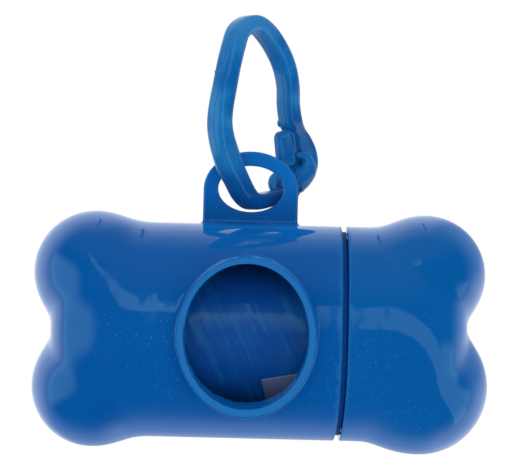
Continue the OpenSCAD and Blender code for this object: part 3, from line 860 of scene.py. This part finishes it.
# a thin round heel boss behind the knuckle, a small tab above the thumb block and a pip on the left
add_block(clip, slab(disc((7.0, 1.4), 2.05), 0.62, 1.95, 0.6), mark=1.0)
add_block(clip, slab(disc((8.05, 12.85), 0.85, 24), 0.9, 1.95, 0.3))
add_block(clip, slab(disc((-9.25, 21.3), 0.42, 16), 1.1, 1.8, 0.2))
clip_frame = clip.object("clip_frame_moulded", "thin")
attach(clip_frame, "clip")
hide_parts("clip_frame")

# its plastic is cloudy, with painted shade low down, painted light at the crown's left and a painted glow
# where it is thin, and it is deeper and a little duller at the thick root of the arm
clip_plastic, paint, shader = new_material("satin_plastic")
deep_blue, pale_blue = (0.0024, 0.110, 0.370, 1), (0.0090, 0.172, 0.460, 1)
low_shade_blue, crown_lit_blue = (0.0012, 0.068, 0.275, 1), (0.045, 0.235, 0.520, 1)
thin_glow_blue, root_blue = (0.032, 0.285, 0.620, 1), (0.0010, 0.088, 0.315, 1)
place = paint.node("TexCoord").outputs["Object"]
right, _, up = paint.node("SeparateXYZ", [(0, place)]).outputs
cloud = paint.noise(place, 220.0, 4.0)
# painted light: the crown is paler high up on its left, as if lit from above
crown = paint.math("MULTIPLY", paint.soft(up, 0.022, 0.032, 0.0, 0.6), paint.soft(right, 0.0055, 0.0020))
root = paint.math("MULTIPLY", paint.soft(up, 0.0165, 0.0135), paint.soft(up, 0.0065, 0.0090),
                  paint.soft(right, 0.0066, 0.0076))
tone = paint.toned(paint.soft(cloud, 0.36, 0.64, run="LINEAR"), deep_blue, pale_blue)
# painted shade: darker low down on the clip
tone = paint.toned(paint.soft(up, 0.005, -0.002), tone, low_shade_blue)
tone = paint.toned(crown, tone, crown_lit_blue)
# painted glow: the heel boss, marked thin, is paler as if light shone through it
tone = paint.toned(paint.node("Attribute", attribute_name="thin").outputs["Fac"], tone, thin_glow_blue)
tone = paint.toned(root, tone, root_blue)
paint.link(shader, [("Base Color", tone), ("Sheen Weight", 0.25), ("Sheen Roughness", 0.35),
                    ("Sheen Tint", (0.35, 0.65, 1.0, 1)),
                    ("Roughness", paint.between(root, paint.between(cloud, 0.07, 0.13), 0.16)),
                    ("Normal", paint.bump(paint.noise(place, 140.0, 0.5), 0.5, 0.0024))])
clip_frame.data.materials.append(clip_plastic)

# Clip gate: one moulding of the clip's plastic, with a thumb block inside the loop, a blade that carries on
# from the clip's arm, and a thick claw that curls over the pin. Its two cheeks hold the pin on either side
# of the frame's tongue.
gate = Patchwork()
gate_clear = 20 * per_place + 10
blade_start = lapped(arm, lap_r - lap_gap, gate_clear)[::-1]
add_bar(gate, np.concatenate([blade_start, arm[gate_clear + 1:]]))
for near, far in ((-1.85, -0.92), (0.92, 1.85)):
    add_block(gate, slab(disc(knuckle, 2.0), near, far, 0.3))
block_long, block_wide = (0.168, -0.986), (0.986, 0.168)
flat_a, flat_b, arc_a, arc_b = bar_nodes(0.0, (0.25, 0.5))


def slanted(middle, a, b):
    """Places in the clip's plane from a middle, a across the thumb block's slant and b along it."""
    return [middle[k] + a * block_wide[k] + b * block_long[k] for k in (0, 1)]


def block_outline(d, half=2.25, tall=3.4, round_r=1.4):
    """Rounded rectangle of the thumb block, drawn in by d."""
    r = max(round_r - d, 0.05)
    return slanted((7.45, 7.95), (half - d - r) * flat_a + r * arc_a, (tall - d - r) * flat_b + r * arc_b)


def web_outline(d, half=1.7, tall=2.5):
    """Rectangle of the web that joins the thumb block to the blade, drawn in by d."""
    return slanted((10.5, 6.8), (half - d) * flat_a, (tall - d) * flat_b)


# the thumb block's front is a sunk panel inside a raised rim
front = -1.25
panel = [(inset, front + sunk)
         for inset, sunk in ((1.15, 0.34), (0.98, 0.32), (0.82, 0.1), (0.68, 0.01), (0.58, 0))]
add_block(gate, loft(block_outline, panel + rounded_layers(front, 0.55, 0.5)))
add_block(gate, slab(web_outline, -0.35, 0.5, 0.1))
# the claw's middle line, and half its width and half its thickness at each place
claw_line = smooth_line(np.array([(9.5, 6.75, 0.5, 0.45), (10.6, 6.7, 0.75, 0.7), (11.55, 6.1, 1.2, 0.95),
                                  (12.2, 5.0, 1.7, 1.15), (12.2, 4.0, 1.95, 1.25), (11.4, 2.9, 1.95, 1.25),
                                  (10.6, 1.9, 1.8, 1.15), (10.0, 1.1, 1.5, 0.95)]), 8)
claw_depth, claw_steps = -1.85, 4
along = heading(claw_line)
rise = pi / 2 * np.arange(1, claw_steps + 1)[:, None] / (claw_steps + 1)


def claw_end(k, side):
    """Rings past end k of the claw, from the tip on: they grow by a sine as they come back by a cosine."""
    rings = np.repeat(claw_line[k][None], claw_steps, 0)
    rings[:, :2] += side * claw_line[k, 2] * np.cos(rise) * along[k]
    rings[:, 2:] *= np.sin(rise)
    return rings


rings = np.vstack([claw_end(0, -1), claw_line, claw_end(-1, 1)[::-1]])
along = np.vstack([along[:1].repeat(claw_steps, 0), along, along[-1:].repeat(claw_steps, 0)])
a = np.linspace(0, 2 * pi, 32, endpoint=False)
claw = carried(rings, along, rings[:, 2:3] * np.cos(a), rings[:, 3:] * np.sin(a) + claw_depth)
add_block(gate, claw, ())
clip_gate = gate.object("clip_gate_moulded")
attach(clip_gate, "gate")
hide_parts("clip_gate")
clip_gate.data.materials.append(clip_plastic)

# Gate pin: a short plain pin of the clip's plastic, pressed into the gate's two cheeks. It turns in the
# frame's tongue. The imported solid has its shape.
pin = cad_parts["gate_pin"]
pin.data.materials.clear()
pin.data.materials.append(clip_plastic)

# Roll of bags: thin blue film wound tight on a paper core. Its outer turn is creased on the slant, and the
# turns stand a little uneven at the ends. It lies loose in the barrel.
roll_z, roll_x, roll_r, roll_half, core_r = -27.0, 2.2, 15.3, 30.0, 6.5
roll_around, roll_along, roll_edge = 300, 200, 0.4
about = np.linspace(0, 2 * pi, roll_around, endpoint=False)[None, :]
x = np.linspace(roll_edge - roll_half, roll_half - roll_edge, roll_along)[:, None]
# each crease is a bell-shaped ridge along a slanted line, and fades out round the roll as a bell curve too.
# The spare draw is used for nothing: it only keeps the later draws as they are
draw = np.random.default_rng(11)
crease = np.zeros((roll_along, roll_around))
for _ in range(26):
    lean, middle, spare = draw.uniform(-0.16, -0.05), draw.uniform(-28, 28), draw.integers(0, 3)
    wrap = (about - draw.uniform(0, 2 * pi) + pi) % (2 * pi) - pi
    away = x - middle - wrap * roll_r * lean * 4
    height, width, span = draw.uniform(0.01, 0.035), draw.uniform(0.25, 0.6), draw.uniform(0.3, 0.8)
    crease += height * np.exp(-(away / width) ** 2 - (wrap / span) ** 2)
sway = 0.03 * np.sin(x * 0.21 + 1.3) * np.sin(2 * about + 0.4) + 0.02 * np.sin(x * 0.5 + 3 * about)
r = roll_r - 0.16 + np.minimum(crease, 0.12) + sway
roll = Patchwork()


def about_roll(x, r, a):
    """Places about the roll's axis, measured from the barrel's axis. Angle 0 faces the window."""
    return np.stack([x + roll_x + 0 * a, -r * np.cos(a), r * np.sin(a) + roll_z - axis_z], -1)


roll.add(about_roll(x, r, about), closed=True)
# the ends: from the rounded edge in to the core, rippled by the edges of the turns
inwards = np.linspace(0, 1, 64)[:, None]
bore_edges = []
for side, row in ((1, -1), (-1, 0)):
    edge_r = r[row][None, :]
    face_r = edge_r - 0.12 + (core_r + 0.02 - edge_r + 0.12) * inwards
    ripple = (0.10 * np.sin(2 * pi * (inwards * 21 + about / (2 * pi)))
              + 0.07 * np.sin(inwards * 37 + 2 * about))
    face_x = side * (roll_half - 0.22 + np.minimum(ripple, 0.2) * np.clip(inwards * 12, 0, 1))
    face = about_roll(face_x, face_r, about)
    roll.add(np.concatenate([about_roll(x[[row]], edge_r, about), face]), closed=True)
    bore_edges.append(face[-1:])
roll.add(np.concatenate(bore_edges), closed=True)
bag_roll = roll.object("bag_roll_wound")
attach(bag_roll, "roll")
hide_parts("bag_roll")

# its streaks are noise squeezed across a line 24 degrees off the roll's length and drawn out along it
film, paint, shader = new_material("bag_film_wound")
film_deep, film_pale = (0.0022, 0.062, 0.290, 1), (0.0045, 0.100, 0.350, 1)
streak_cos, streak_sin, streak_fine, streak_long, streak_deep = 0.914, 0.407, 1500, 60, 90.0
place = paint.node("TexCoord").outputs["Object"]
over = paint.node("VectorMath", [(0, place), (1, (streak_cos * streak_fine, 0, streak_sin * streak_fine))],
                  operation="DOT_PRODUCT").outputs["Value"]
down = paint.node("VectorMath", [(0, place), (1, (-streak_sin * streak_long, 0, streak_cos * streak_long))],
                  operation="DOT_PRODUCT").outputs["Value"]
deep = paint.math("MULTIPLY", paint.node("SeparateXYZ", [(0, place)]).outputs["Y"], streak_deep)
laid = paint.node("CombineXYZ", [(0, over), (1, deep), (2, down)]).outputs[0]
streak = paint.noise(laid, 1.0, 3.0, 0.3)
haze = paint.soft(paint.math("MULTIPLY", streak, paint.noise(place, 130.0, 3.0)), 0.22, 0.40, run="LINEAR")
paint.link(shader, [("Base Color", paint.toned(haze, film_deep, film_pale)),
                    ("Roughness", paint.between(haze, 0.12, 0.17)),
                    ("Normal", paint.bump(streak, 0.05, 0.0003))])
bag_roll.data.materials.append(film)

# Paper core: a tube of brown card, wound and glued on the slant, that the film was wound on. The packed
# solid has its shape.
paper_fibre, fibre, given, result = new_group(
    "paper_fibre", {"Place": "Vector", "Scale": "Float", "Deep": "Color", "Pale": "Color", "Relief": "Float",
                    "Distance": "Float"}, {"Color": "Color", "Normal": "Vector"})
grain = fibre.noise(given["Place"], given["Scale"], 4.0)
fibre.link(result, [("Color", fibre.toned(grain, given["Deep"], given["Pale"])),
                    ("Normal", fibre.bump(grain, given["Relief"], given["Distance"]))])


def paper(name, roughness, **fibres):
    """Material of paper or card: dull, with fine fibres whose size, colours and relief are given."""
    material, paint, shader = new_material(name)
    place = paint.node("TexCoord").outputs["Object"]
    look = paint.node("Group", [("Place", place), *fibres.items()], node_tree=paper_fibre).outputs
    paint.link(shader, [("Base Color", look["Color"]), ("Roughness", roughness), ("Normal", look["Normal"])])
    return material


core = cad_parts["roll_core"]
core.data.materials.clear()
core.data.materials.append(paper("core_card_wound", 0.85, Scale=1600.0, Deep=(0.30, 0.20, 0.11, 1),
                                 Pale=(0.52, 0.38, 0.24, 1), Relief=0.3, Distance=0.0001))

# Roll label: a small square of white paper glued on the roll's outer turn, left bare. Its white is painted
# dim and blue, as painted shade and the shell's blue light inside the window, and one corner has lifted a
# little.
label_x, label_angle, label_half, label_tilt, label_t = 9.75, radians(-47.4), 6.0, radians(11), 0.12
p = np.linspace(-1, 1, 41) * label_half
a, b = np.meshgrid(p, p)
label_along = label_x - roll_x + a * cos(label_tilt) - b * sin(label_tilt)
label_up = a * sin(label_tilt) + b * cos(label_tilt)
lift = 0.55 * np.clip((b - a) / (2 * label_half) - 0.62, 0, 1) ** 1.5


def border(skin):
    """Outermost points of a grid, all the way round as a closed loop."""
    return np.concatenate([skin[0, :-1], skin[:-1, -1], skin[-1, :0:-1], skin[:0:-1, 0]])


label = Patchwork()
skins = [about_roll(label_along, roll_r + 0.03 + thick + lift, label_angle + label_up / roll_r)
         for thick in (0.0, label_t)]
for skin_grid in skins:
    label.add(skin_grid)
label.add(np.stack([border(skin_grid) for skin_grid in skins]), closed=True)
roll_label = label.object("roll_label_paper")
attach(roll_label, "roll")
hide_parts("roll_label")
# painted shade and blue light: the white paper is given a dim blue
roll_label.data.materials.append(paper("label_paper_white", 0.75, Scale=2500.0, Deep=(0.085, 0.12, 0.27, 1),
                                       Pale=(0.12, 0.16, 0.33, 1), Relief=0.2, Distance=0.00005))
